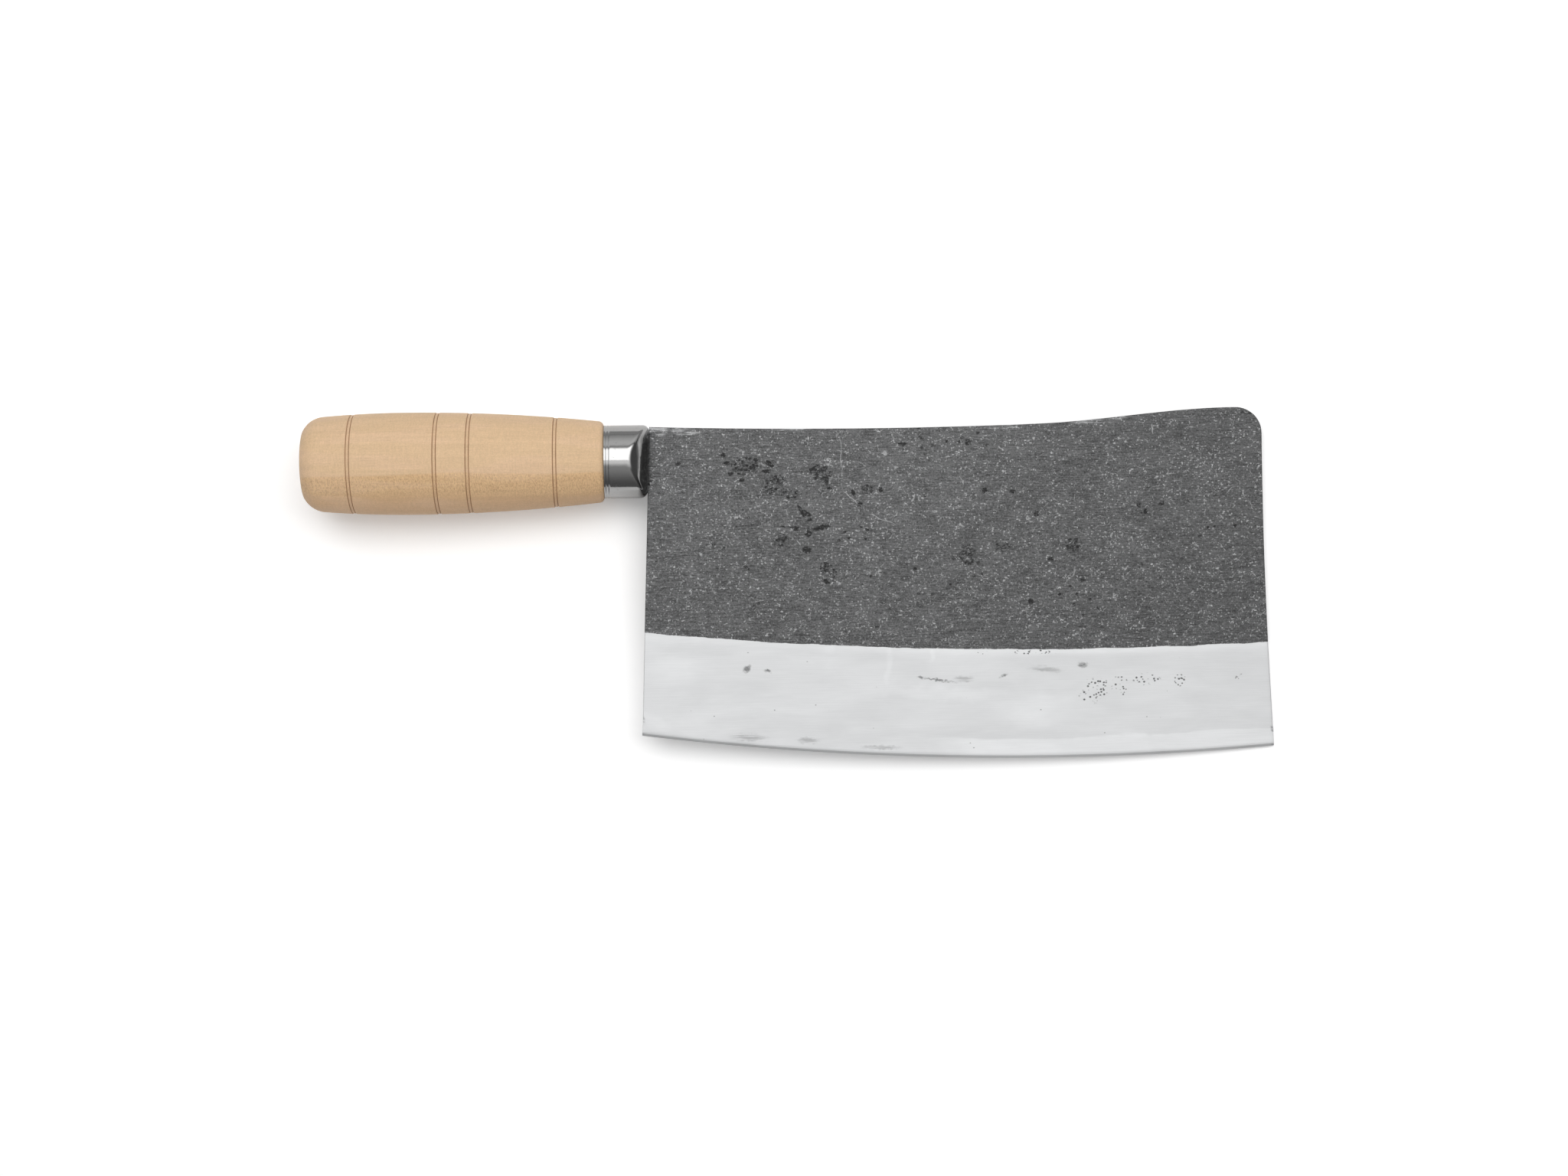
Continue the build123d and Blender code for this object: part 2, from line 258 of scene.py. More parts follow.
def plate(name, rows, rounding):
    """Closed plate between a grid of outline points and its mirror image, its rim rounded.

    rounding gives a radius for each of the top, front, bottom and heel sides, or a function of x.
    """
    grid = rows.copy()
    high, wide = grid.shape[:2]
    loop, sides = rim_loop(high, wide)
    count = len(loop)
    edge = np.array([grid[j, i] for j, i in loop])
    way = np.roll(edge, -1, axis=0) - np.roll(edge, 1, axis=0)
    out = np.c_[-way[:, 1], way[:, 0]] / np.hypot(*way.T)[:, None]
    radius = rim_radii(edge, sides, rounding)
    for (j, i), p in zip(loop, edge - out * radius[:, None]):
        grid[j, i] = p
    vertices, faces, starts, rings = [], [], [], []
    for side in (1, -1):
        starts.append(len(vertices))
        for x, y in grid.reshape(-1, 2):
            z = float(half_thickness(x, y)) - forged_sink(x, y, side)
            vertices.append((x, y, side * max(z, EDGE_HALF)))
    for start, turn in zip(starts, (1, -1)):
        for j in range(high - 1):
            for i in range(wide - 1):
                a = start + j * wide + i
                faces.append((a, a + wide, a + wide + 1, a + 1)[::turn])
    for start, side in zip(starts, (1, -1)):
        rings.append([start + j * wide + i for j, i in loop])
        for k in range(1, RIM_STEPS + 1):
            turn = pi / 2 * k / RIM_STEPS
            rings.append(list(range(len(vertices), len(vertices) + count)))
            for n in range(count):
                x, y = grid[loop[n]] + out[n] * radius[n] * sin(turn)
                z = vertices[rings[-1 - k][n]][2] - side * radius[n] * (1 - cos(turn))
                vertices.append((x, y, z))
    upper, lower = rings[: RIM_STEPS + 1], rings[RIM_STEPS + 1 :]
    order = upper + lower[::-1]
    for above, below in zip(order, order[1:]):
        for n in range(count):
            m = (n + 1) % count
            faces.append((above[n], above[m], below[m], below[n]))
    return finish_mesh(name, np.array(vertices), faces)


def spine_round(x):
    """Radius of the spine's edges at x, worn unevenly and nicked here and there."""
    nick = NICK_DEPTH * sum(max(0.0, 1 - abs(x - place) / NICK_HALF) for place in SPINE_NICKS)
    return SPINE_RIM + 0.16 * wave(x, 0, 11, 4.4) + 0.12 * wave(x, 0, 2.5, 7.7) + nick


spine = resample(spine_line(), COLUMNS)
bevel_top = resample(ring_line(BEVEL_CENTRE, BEVEL_RADIUS), COLUMNS)
weld_depth = (BEVEL_HALF - STEEL_HALF) / BEVEL_SLOPE
weld = resample(ring_line(BEVEL_CENTRE, BEVEL_RADIUS + weld_depth, weld_ripple), COLUMNS)
hone_top = resample(ring_line(EDGE_CENTRE, EDGE_RADIUS - HONE_WIDTH), COLUMNS)
cutting_edge = resample(ring_line(EDGE_CENTRE, EDGE_RADIUS), COLUMNS)


def straight(a, b, count):
    """Points on the line from a to b."""
    return a + (b - a) * np.linspace(0, 1, count)[:, None]


cheek_rows = coons(
    spine,
    bevel_top,
    straight(spine[0], bevel_top[0], CHEEK_ROWS),
    resample(np.r_[front_line(bevel_top[-1][1])[:-1], bevel_top[-1:]], CHEEK_ROWS),
)
bevel_rows = coons(
    bevel_top,
    weld,
    straight(bevel_top[0], weld[0], BEVEL_ROWS),
    straight(bevel_top[-1], weld[-1], BEVEL_ROWS),
)
steel_rows = coons(
    weld,
    hone_top,
    straight(weld[0], hone_top[0], STEEL_ROWS),
    straight(weld[-1], hone_top[-1], STEEL_ROWS),
)
blade_body = plate(
    "blade_body_forged",
    np.r_[cheek_rows, bevel_rows[1:]],
    (spine_round, FRONT_RIM, 0.0, HEEL_RIM),
)
edge_steel = plate(
    "edge_steel_ground",
    np.r_[steel_rows, cutting_edge[None]],
    (0.0, STEEL_RIM, 0.0, STEEL_RIM),
)
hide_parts("edge_steel")


# Tang: a drawn bar through the handle, its end bent over in the butt's pocket
TANG_ROOT, TANG_TIP, TANG_HALF = 5.0, 2.5, 1.7
TANG_START = -0.6
TANG_ROUND = 0.35
CLINCH_INSET = 0.8
CLINCH_THICKNESS = 2.4
CLINCH_BEND = 1.6
CLINCH_X = BUTT_X + CLINCH_INSET
CLINCH_FLOOR = CLINCH_X + CLINCH_THICKNESS
CLINCH_END = -8.5


def tang_piece():
    """The tang with its bent-over end, its corners softened by the hammer."""
    turn = np.radians(np.linspace(90, 180, 7))
    middle = np.array((CLINCH_X + CLINCH_BEND, TANG_TIP - CLINCH_BEND))
    bend = middle + CLINCH_BEND * np.c_[np.cos(turn), np.sin(turn)]
    outline = [(TANG_START, TANG_ROOT), (CLINCH_FLOOR, TANG_TIP)]
    outline += bend.tolist()
    outline += [(CLINCH_X, CLINCH_END), (CLINCH_FLOOR, CLINCH_END), (CLINCH_FLOOR, -TANG_TIP)]
    outline += [(TANG_START, -TANG_ROOT)]
    count = len(outline)
    vertices = [(x, y, z) for z in (TANG_HALF, -TANG_HALF) for x, y in outline]
    faces = [tuple(range(count)), tuple(range(2 * count - 1, count - 1, -1))]
    faces += [(i, i + count, (i + 1) % count + count, (i + 1) % count) for i in range(count)]
    piece = finish_mesh("tang_end", np.array(vertices), faces)
    shape = bmesh.new()
    shape.from_mesh(piece.data)
    bmesh.ops.bevel(
        shape,
        geom=[e for e in shape.edges if e.calc_face_angle(0) > radians(40)],
        offset=TANG_ROUND * MM,
        segments=3,
        profile=0.5,
        affect="EDGES",
    )
    shape.to_mesh(piece.data)
    shape.free()
    piece.data.shade_smooth()
    piece.data.set_sharp_from_angle(angle=radians(40))
    return piece


tang = tang_piece()
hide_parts("blade_body")


def turned(name, profile, around, slot, attributes=None):
    """Closed solid turned on the handle's axis from (x, radius) points whose ends lie on the axis."""
    angles = np.linspace(0, 2 * pi, around, endpoint=False)
    vertices = [(profile[0][0], 0, 0)]
    for x, r in profile[1:-1]:
        vertices += [(x, r * cos(a), r * sin(a)) for a in angles]
    vertices.append((profile[-1][0], 0, 0))
    faces = []
    last = len(vertices) - 1
    rings = len(profile) - 2
    for i in range(around):
        j = (i + 1) % around
        faces.append((0, 1 + i, 1 + j))
        faces.append((last, last - around + j, last - around + i))
        for k in range(rings - 1):
            a = 1 + k * around
            faces.append((a + i, a + around + i, a + around + j, a + j))
    values = {}
    for key, along in (attributes or {}).items():
        values[key] = [along[0]] + [v for v in along[1:-1] for _ in angles] + [along[-1]]
    return finish_mesh(name, np.array(vertices), faces, attributes=values)


# Handle
BELLY = np.array((BUTT_X + 36.5, 17.2))
SHOULDER = np.array((-FERRULE_LENGTH, 13.6))
BUTT_EDGE = np.array((BUTT_X + 7.5, 16.0))
CROWN_HEIGHT = 1.1
CROWN_EDGE = np.array((BUTT_X + CROWN_HEIGHT, 11.9))
SHOULDER_ROUND = 1.8
TENON_RADIUS = 11.5
TENON_END = -7.5
CUT_HALF, CUT_DEPTH, BAND_DEPTH = 0.26, 0.4, 0.16
CUT_ROOM = 0.65
CUT_SHARES = (-1.6, -1, -0.5, 0, 0.5, 1, 1.6)
CROWN_POINTS, BUTT_POINTS, BELLY_POINTS, SHOULDER_POINTS = 9, 14, 44, 8
HANDLE_AROUND = 144


def belly_arc(end):
    """Radius of the arc that leaves the handle's belly level and runs to a point of its profile."""
    reach = end - BELLY
    return (reach @ reach) / 2 / -reach[1]


def wood_radius(x):
    """Radius of the handle at x, on the arcs either side of its belly."""
    arc = belly_arc(SHOULDER if x > BELLY[0] else BUTT_EDGE)
    return BELLY[1] - arc + sqrt(arc**2 - (x - BELLY[0]) ** 2)


def ring_cut(x):
    """Depth at x of the turned rings: two fine cuts with a slightly sunk band between them."""
    off = min(abs(x - BUTT_X - place) for place in RING_PLACES)
    cut = max(0.0, 1 - abs(off - RING_HALF) / CUT_HALF)
    band = BAND_DEPTH if off < RING_HALF else 0.0
    return max(CUT_DEPTH * cut, band)


def handle_profile():
    """Outline of the turned wood from the butt's middle to the tenon's end, with the cuts' depth."""
    points, depths = [], []
    crown = (CROWN_EDGE[1] ** 2 + CROWN_HEIGHT**2) / 2 / CROWN_HEIGHT
    for r in np.linspace(0, CROWN_EDGE[1], CROWN_POINTS)[:-1]:
        points.append((BUTT_X + crown - sqrt(crown**2 - r**2), r))
    slope = (BUTT_EDGE[0] - BELLY[0]) / belly_arc(BUTT_EDGE)
    inward = np.array((-slope, -sqrt(1 - slope**2)))
    chord = CROWN_EDGE - BUTT_EDGE
    radius = (chord @ chord) / 2 / (chord @ inward)
    middle = BUTT_EDGE + inward * radius
    first = atan2(*(CROWN_EDGE - middle)[::-1])
    last = atan2(*(BUTT_EDGE - middle)[::-1])
    for turn in np.linspace(first, last, BUTT_POINTS)[:-1]:
        points.append((middle[0] + radius * cos(turn), middle[1] + radius * sin(turn)))
    depths += [0.0] * len(points)
    even = np.linspace(BUTT_EDGE[0], SHOULDER[0] - SHOULDER_ROUND, BELLY_POINTS)
    stations = set(np.round(even, 3))
    for place in RING_PLACES:
        for side in (-1, 1):
            cut = BUTT_X + place + side * RING_HALF
            stations = {s for s in stations if abs(s - cut) > CUT_ROOM}
            stations |= {cut + share * CUT_HALF for share in CUT_SHARES}
    for x in sorted(stations):
        points.append((x, wood_radius(x) - ring_cut(x)))
        depths.append(ring_cut(x))
    start = wood_radius(SHOULDER[0] - SHOULDER_ROUND) - SHOULDER_ROUND
    for turn in np.radians(np.linspace(90, 0, SHOULDER_POINTS))[1:]:
        points.append((SHOULDER[0] - SHOULDER_ROUND * (1 - cos(turn)), start + SHOULDER_ROUND * sin(turn)))
        depths.append(0.0)
    points += [(SHOULDER[0], TENON_RADIUS), (TENON_END, TENON_RADIUS), (TENON_END, 0)]
    depths += [0.0] * 3
    return points, depths


profile, cut_depths = handle_profile()
handle = turned("handle_turned", profile, HANDLE_AROUND, "wood", {"cut": cut_depths})
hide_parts("handle")


# Ferrule: a drawn cap whose closed end slopes in from both sides to the blade
NOSE_PIVOT = -7.0
NOSE_SWEEP = 55.0
NOSE_BULGE = 19.0
NOSE_RIM = np.array((NOSE_SWEEP - 6.3, FERRULE_RADIUS))
NOSE_LIP = np.array((hypot(NOSE_SWEEP + FERRULE_RADIUS * HEEL_SLOPE, FERRULE_RADIUS), 1.6))
NOSE_CENTRE = arc_centre(NOSE_LIP, NOSE_RIM, NOSE_BULGE)
RIM_ROUND = 0.7
FRONT_ROUND = 2.4
SHARP_ROUND = 0.2
GROOVE_PLACES = (-14.1, -13.1)
GROOVE_DEPTH, GROOVE_HALF = 0.14, 0.3
GROOVED_END, BARREL_START = -12.6, -12.2
GROOVED_STATIONS, BARREL_STATIONS, NOSE_STATIONS = 20, 10, 62
FERRULE_AROUND = 200
RAY_REACH, RAY_HALVINGS = 20.0, 40


def meet(a, b, radius):
    """Field of what two fields have in common, the edge between them rounded."""
    a, b = a + radius, b + radius
    return np.minimum(np.maximum(a, b), 0) + np.hypot(np.maximum(a, 0), np.maximum(b, 0)) - radius


def ferrule_field(p):
    """Below zero inside the ferrule's outer form, for points in the knife's frame."""
    x, y, z = p.T
    radius = np.hypot(y, z)
    groove = np.zeros_like(x)
    for place in GROOVE_PLACES:
        groove += GROOVE_DEPTH * np.clip(1 - np.abs(x - place) / GROOVE_HALF, 0, 1)
    barrel = radius - FERRULE_RADIUS + groove
    front = x - y * HEEL_SLOPE
    back = -FERRULE_LENGTH - x
    reach = np.hypot(x + NOSE_SWEEP, y)
    nose = np.hypot(reach - NOSE_CENTRE[0], np.abs(z) - NOSE_CENTRE[1]) - NOSE_BULGE
    form = meet(meet(barrel, front, FRONT_ROUND), meet(barrel, nose, RIM_ROUND), SHARP_ROUND)
    return meet(form, back, SHARP_ROUND)


def ferrule_piece():
    """The ferrule's skin, found along rays from its axis, closed at the back."""
    around = FERRULE_AROUND
    angles = np.linspace(0, 2 * pi, around, endpoint=False)
    grooved = np.linspace(-FERRULE_LENGTH, GROOVED_END, GROOVED_STATIONS)
    stations = np.r_[grooved, np.linspace(BARREL_START, NOSE_PIVOT, BARREL_STATIONS)]
    lifts = np.radians(np.linspace(0, 90, NOSE_STATIONS)[1:-1])
    starts, ways = [], []
    for x in stations:
        starts += [(x, 0, 0)] * around
        ways += [(0, cos(a), sin(a)) for a in angles]
    for lift in lifts:
        starts += [(NOSE_PIVOT, 0, 0)] * around
        ways += [(sin(lift), cos(lift) * cos(a), cos(lift) * sin(a)) for a in angles]
    starts.append((NOSE_PIVOT, 0, 0))
    ways.append((1, 0, 0))
    starts, ways = np.array(starts, float), np.array(ways, float)
    starts[:around, 0] += 0.001
    near, far = np.zeros(len(starts)), np.full(len(starts), RAY_REACH)
    for _ in range(RAY_HALVINGS):
        middle = (near + far) / 2
        inside = ferrule_field(starts + ways * middle[:, None]) < 0
        near, far = np.where(inside, middle, near), np.where(inside, far, middle)
    vertices = starts + ways * near[:, None]
    rings = len(stations) + len(lifts)
    tip = len(vertices) - 1
    faces = [tuple(range(around))]
    for k in range(rings - 1):
        for i in range(around):
            a, b = k * around + i, k * around + (i + 1) % around
            faces.append((a, b, b + around, a + around))
    for i in range(around):
        a, b = (rings - 1) * around + i, (rings - 1) * around + (i + 1) % around
        faces.append((a, b, tip))
    return finish_mesh("ferrule_cap", vertices, faces, sharp=60)


ferrule = ferrule_piece()
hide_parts("ferrule")


# Pocket for the tang's end in the butt
POCKET_GAP = 0.15
POCKET_OVERRUN = 2


def cut_pocket(piece):
    """Cuts a pocket into the wood, a little larger than the tang's bent-over end."""
    low, high = CLINCH_END - POCKET_GAP, TANG_TIP + POCKET_GAP
    half = TANG_HALF + POCKET_GAP
    long = (BUTT_X - POCKET_OVERRUN, CLINCH_FLOOR)
    corners = [(x, y, z) for x in long for y in (low, high) for z in (-half, half)]
    faces = [(0, 1, 3, 2), (4, 6, 7, 5), (0, 4, 5, 1), (2, 3, 7, 6), (0, 2, 6, 4), (1, 5, 7, 3)]
    mesh = bpy.data.meshes.new("pocket")
    mesh.from_pydata([knife @ Vector(c) for c in corners], [], faces)
    shape = bmesh.new()
    shape.from_mesh(mesh)
    bmesh.ops.recalc_face_normals(shape, faces=shape.faces)
    shape.to_mesh(mesh)
    shape.free()
    tool = bpy.data.objects.new("pocket", mesh)
    bpy.context.collection.objects.link(tool)
    cut = piece.modifiers.new("pocket", "BOOLEAN")
    cut.operation = "DIFFERENCE"
    cut.solver = "EXACT"
    cut.object = tool
    bpy.context.view_layer.update()
    made = bpy.data.meshes.new_from_object(piece.evaluated_get(bpy.context.evaluated_depsgraph_get()))
    piece.modifiers.clear()
    piece.data = made
    made.set_sharp_from_angle(angle=radians(40))
    bpy.data.objects.remove(tool)


cut_pocket(handle)


# Materials

class Nodes:
    """A tree of nodes. Its helpers return an output socket, and take sockets or plain values."""

    def __init__(self, tree):
        self.tree = tree

    def put(self, socket, value):
        if isinstance(value, bpy.types.NodeSocket):
            self.tree.links.new(value, socket)
        else:
            socket.default_value = value

    def node(self, kind, settings=None, **inputs):
        made = self.tree.nodes.new("ShaderNode" + kind)
        for key, value in (settings or {}).items():
            setattr(made, key, value)
        for key, value in inputs.items():
            self.put(made.inputs[key], value)
        return made

    def vector(self, operation, *values):
        """Vector arithmetic; a length comes out as a single value."""
        made = self.node("VectorMath", {"operation": operation})
        for socket, value in zip(made.inputs, values):
            self.put(socket, value)
        return made.outputs["Value" if operation == "LENGTH" else "Vector"]

    def math(self, operation, a, b=0.0, c=0.0):
        made = self.tree.nodes.new("ShaderNodeMath")
        made.operation = operation
        for socket, value in zip(made.inputs, (a, b, c)):
            self.put(socket, value)
        return made.outputs[0]

    def times(self, *values):
        """Product of several values."""
        product = values[0]
        for value in values[1:]:
            product = self.math("MULTIPLY", product, value)
        return product

    def vary(self, *noises):
        """1, made more or less by each noise from 0 to 1 times its amount."""
        total = 1.0
        for value, amount in noises:
            total = self.math("MULTIPLY_ADD", self.math("SUBTRACT", value, 0.5), amount, total)
        return total

    def dim(self, value, share, mask):
        """Value made less by a share of itself where the mask is 1."""
        return self.math("MULTIPLY", value, self.math("MULTIPLY_ADD", mask, -share, 1.0))

    def rise(self, value, low, high, bottom=0.0, top=1.0):
        """Smooth step from bottom to top as value goes from low to high."""
        return self.node(
            "MapRange",
            {"interpolation_type": "SMOOTHSTEP"},
            Value=value,
            **{"From Min": low, "From Max": high, "To Min": bottom, "To Max": top},
        ).outputs[0]

    def blend(self, factor, a, b):
        """Colour a where factor is 0 and b where it is 1."""
        made = self.tree.nodes.new("ShaderNodeMix")
        made.data_type = "RGBA"
        self.put(made.inputs[0], factor)
        for socket, value in ((made.inputs[6], a), (made.inputs[7], b)):
            self.put(socket, value)
        return made.outputs[2]

    def grey(self, value, tint=(1.0, 1.0, 1.0)):
        """Colour of this brightness with a slight tint."""
        return self.node(
            "CombineColor",
            Red=self.math("MULTIPLY", value, tint[0]),
            Green=self.math("MULTIPLY", value, tint[1]),
            Blue=self.math("MULTIPLY", value, tint[2]),
        ).outputs[0]

    def parts(self, vector):
        """The x, y and z of a vector."""
        return self.node("SeparateXYZ", Vector=vector).outputs


class Shader(Nodes):
    """One material's nodes, with patterns whose sizes are millimetres on the knife."""

    def __init__(self, name):
        self.material = bpy.data.materials.new(name)
        self.material.use_nodes = True
        super().__init__(self.material.node_tree)
        self.surface = self.tree.nodes["Principled BSDF"]
        self.own = self.node(
            "Mapping",
            {"vector_type": "TEXTURE"},
            Vector=self.node("TexCoord").outputs["Object"],
            Location=[v * MM for v in KNIFE_ORIGIN],
            Rotation=(KNIFE_ROLL, KNIFE_PITCH, 0),
            Scale=(MM, MM, MM),
        ).outputs[0]

    def place(self, size=(1, 1, 1), shift=(0, 0, 0), start=None):
        """Place on the knife in millimetres, divided by size and shifted."""
        return self.vector("MULTIPLY_ADD", start or self.own, [1 / v for v in size], shift)

    def noise(self, size, detail=2.0, rough=0.5, shift=(0, 0, 0), bend=0.0):
        """Noise from 0 to 1 with features of this size in millimetres."""
        made = self.node("TexNoise", Vector=self.place(size, shift), Detail=detail, Roughness=rough)
        made.inputs["Scale"].default_value = 1.0
        made.inputs["Distortion"].default_value = bend
        return made.outputs[0]

    def wobble(self, size, reach, shift=(0, 0, 0)):
        """Place on the knife, pushed this way and that by up to about reach."""
        way = self.node("TexNoise", Vector=self.place((size, size, size), shift), Detail=2.0)
        way.inputs["Scale"].default_value = 1.0
        push = (2 * reach, 2 * reach, 0), (-reach, -reach, 0)
        return self.vector("ADD", self.own, self.vector("MULTIPLY_ADD", way.outputs["Color"], *push))

    def cells(self, size, shift=(0, 0, 0), feature="F1", reach=0.0):
        """Distance to the nearest of scattered points, or to the border between two of them."""
        start = self.wobble(size[0] / 2, reach, shift) if reach else None
        made = self.node("TexVoronoi", {"feature": feature}, Vector=self.place(size, shift, start))
        made.inputs["Scale"].default_value = 1.0
        return made.outputs["Distance"]

    def near(self, ellipses, place=None):
        """1 at the middle of the nearest of some ellipses, 0 on its border and less outside.

        An ellipse has its middle x and y, its half length and half width, and its turn in degrees.
        """
        turned = {0: place or self.own}
        nearest = 9.0
        for x, y, length, width, turn in ellipses:
            back = radians(-turn)
            if turn not in turned:
                rotate = self.node("VectorRotate", {"rotation_type": "Z_AXIS"}, Vector=turned[0], Angle=back)
                turned[turn] = rotate.outputs[0]
            along, across = x * cos(back) - y * sin(back), x * sin(back) + y * cos(back)
            share, shift = (1 / length, 1 / width, 0), (-along / length, -across / width, 0)
            reach = self.vector("LENGTH", self.vector("MULTIPLY_ADD", turned[turn], share, shift))
            nearest = self.math("MINIMUM", nearest, reach)
        return self.math("SUBTRACT", 1.0, nearest)

    def bump(self, height, depth, under=None):
        """Normal of a relief: height from 0 to 1 is depth millimetres."""
        made = self.node("Bump", Height=height)
        made.inputs["Strength"].default_value = 1.0
        made.inputs["Distance"].default_value = depth * MM
        if under is not None:
            self.put(made.inputs["Normal"], under)
        return made.outputs[0]

    def wear(self, *pieces):
        """Puts the material on these pieces."""
        for piece in pieces:
            piece.data.materials.clear()
            piece.data.materials.append(self.material)


def ring_distance(s, centre, radius):
    """How far below an arc across the blade a place is, in millimetres."""
    x, y, _ = s.parts(s.own)
    across = s.math("SUBTRACT", x, centre[0])
    along = s.math("SUBTRACT", y, centre[1])
    squares = s.math("ADD", s.math("MULTIPLY", across, across), s.math("MULTIPLY", along, along))
    return s.math("SUBTRACT", s.math("SQRT", squares), radius)


def upper_side(s):
    """1 on the shown side of the blade and 0 on the hidden one."""
    return s.rise(s.parts(s.own)[2], -0.04, 0.04)


# Marks on the shown side, as ellipses: middle, half length, half width and turn
GROOVES = (
    (10, -1, 1.0, 0.7, 0),
    (25.4, 1.8, 0.8, 0.7, 0),
    (26.7, -0.9, 1.2, 0.6, 0),
    (27.8, -4.6, 1.0, 0.7, 0),
    (36.3, 0, 0.9, 0.7, 0),
    (41, -1.3, 1.8, 0.8, -40),
    (40, -3.8, 1.7, 0.6, 0),
    (31.6, -6.8, 1.0, 0.7, 20),
    (51.7, -17.5, 2.5, 0.6, -60),
    (53.4, -18.3, 1.8, 0.8, -30),
    (54.5, -20.4, 0.9, 0.6, 0),
    (60.4, -7, 0.7, 1.8, 0),
    (61.6, -9.9, 1.1, 0.5, -10),
    (69.4, -11.4, 1.3, 0.6, -60),
    (71.6, -15.5, 1.0, 0.8, 30),
    (79, -10.5, 0.9, 0.9, 0),
    (49.6, -23.4, 1.2, 0.7, 0),
    (47, -22.8, 2.5, 0.3, -3),
    (54, -25.2, 1.3, 1.2, 0),
    (58.6, -23.2, 3.3, 0.9, 14),
    (53.4, -30.7, 1.7, 1.3, 0),
    (33, -36.7, 1.5, 0.5, -30),
    (60, -41.5, 1.6, 0.6, -35),
    (86.5, 5, 1.4, 0.7, 0),
    (109, 5.5, 1.2, 1.1, 0),
    (114.4, -11.2, 1.0, 0.9, 0),
    (124, -11.5, 1.3, 0.7, 0),
    (132.4, -19.3, 0.9, 1.0, 0),
    (167.8, -16.5, 0.9, 1.0, 0),
    (170, -19, 0.7, 1.1, 0),
    (175.6, -16.2, 1.2, 0.7, 30),
    (137, -34.8, 1.2, 0.8, 0),
    (148, -42.2, 1.3, 0.5, 0),
    (130, -49.3, 1.0, 0.9, 0),
)
PIT_FIELDS = (
    (32.5, -2, 5.5, 3.6, 0),
    (42.5, -8.5, 5.0, 3.6, 20),
    (48, -11.5, 3.4, 2.2, 0),
    (58, -4.5, 5.0, 3.2, 0),
    (44.5, -27.5, 3.2, 2.4, 30),
    (74, -10.5, 2.6, 2.0, 0),
    (60.5, -37.5, 4.2, 2.2, -40),
    (120.5, -30.5, 3.2, 2.0, 0),
    (108.5, -33, 3.2, 4.2, 0),
    (145, -30, 3.4, 2.6, 0),
)
LIGHT_SCRATCHES = (
    (65.4, 0.6, 9.0, 0.2, 92),
    (68.8, -13.2, 5.0, 0.22, -45),
    (79.5, -20.8, 6.5, 0.18, -24),
    (50.6, -28.4, 1.4, 0.24, -52),
    (80.5, 2, 0.7, 1.0, 0),
    (78.5, -9, 1.1, 0.26, 60),
    (172.6, 9.5, 2.2, 0.24, 96),
    (199.7, -12, 2.2, 0.22, 40),
    (204, -12.5, 1.8, 0.22, -70),
    (209.5, -4, 1.2, 0.3, 50),
    (165.5, -28.5, 1.6, 0.2, 92),
    (58.5, -6, 14.0, 0.12, -5),
)
RUBBED_FIELDS = (
    (190, -2, 15.0, 9.0, -30),
    (160, -27, 12.0, 8.0, 0),
    (184.5, 2.8, 3.5, 2.2, -20),
    (200.5, -57.3, 1.8, 1.3, 0),
    (129.5, -43.7, 3.0, 6.0, 0),
    (194.7, -39.7, 6.0, 9.0, 30),
    (22.5, -22, 10.0, 13.0, 0),
    (66, -38, 8.0, 6.0, 0),
    (43.5, -14, 5.0, 4.0, 0),
)
# Places along the spine rubbed bright, their lightness partly a painted highlight on the rounded edge
WORN_SPINE_HIGHLIGHTS = (
    (3, 10.4, 5.0, 2.4, 0),
    (13, 9.8, 6.5, 1.5, -4),
    (48, 10.6, 9.0, 0.9, 0),
    (122, 11.5, 12.0, 1.8, 2),
    (156, 13.6, 13.0, 2.0, 8),
)
BEVEL_SMUDGES = (
    (32.5, -70.8, 2.2, 1.5, 40),
    (39.5, -71.7, 1.9, 0.9, -10),
    (48.5, -62.3, 0.8, 0.6, 0),
    (91.8, -74.6, 1.5, 0.8, 0),
    (98, -75.7, 8.0, 0.6, -9),
    (147.7, -71, 2.4, 1.3, 0),
    (120.2, -74.6, 2.2, 0.7, 25),
)
FAINT_SMUDGES = (
    (135, -72.5, 7.5, 1.4, -6),
    (106.5, -75.5, 4.5, 1.4, 0),
    (33, -94.4, 8.0, 1.7, -4),
    (53, -95.6, 5.0, 1.4, -2),
    (78, -98.5, 9.0, 1.0, -2),
)
BRIGHT_SMEARS = (
    (81, -70, 1.8, 12.0, -8),
    (95.5, -67, 1.4, 5.0, -8),
    (1, -88, 8.0, 4.0, -35),
    (60, -63, 3.5, 4.5, 0),
    (100, -80, 40.0, 3.5, -3),
    (135, -87.5, 30.0, 11.0, 0),
    (6, -72, 14.0, 9.0, 0),
)
SPECK_FIELDS = (
    (151.5, -80.3, 6.5, 4.8, 15),
    (160.7, -78.8, 3.4, 4.0, 0),
    (169.8, -76.4, 5.2, 2.2, 0),
    (181.5, -76.9, 2.1, 2.4, 0),
    (203, -76.4, 2.4, 1.5, 0),
    (130, -66.6, 9.0, 0.8, 0),
    (113, -66.2, 2.0, 0.8, 0),
)


# Brightness of the ground body, the hard steel, the forge scale and the ferrule
BODY_LEVEL, HARD_LEVEL, SCALE_LEVEL, FERRULE_LEVEL = 0.692, 0.7, 0.098, 0.48
STEEL_TINT = (0.99, 1.0, 1.01)
FERRULE_TINT = (1.0, 0.995, 0.985)


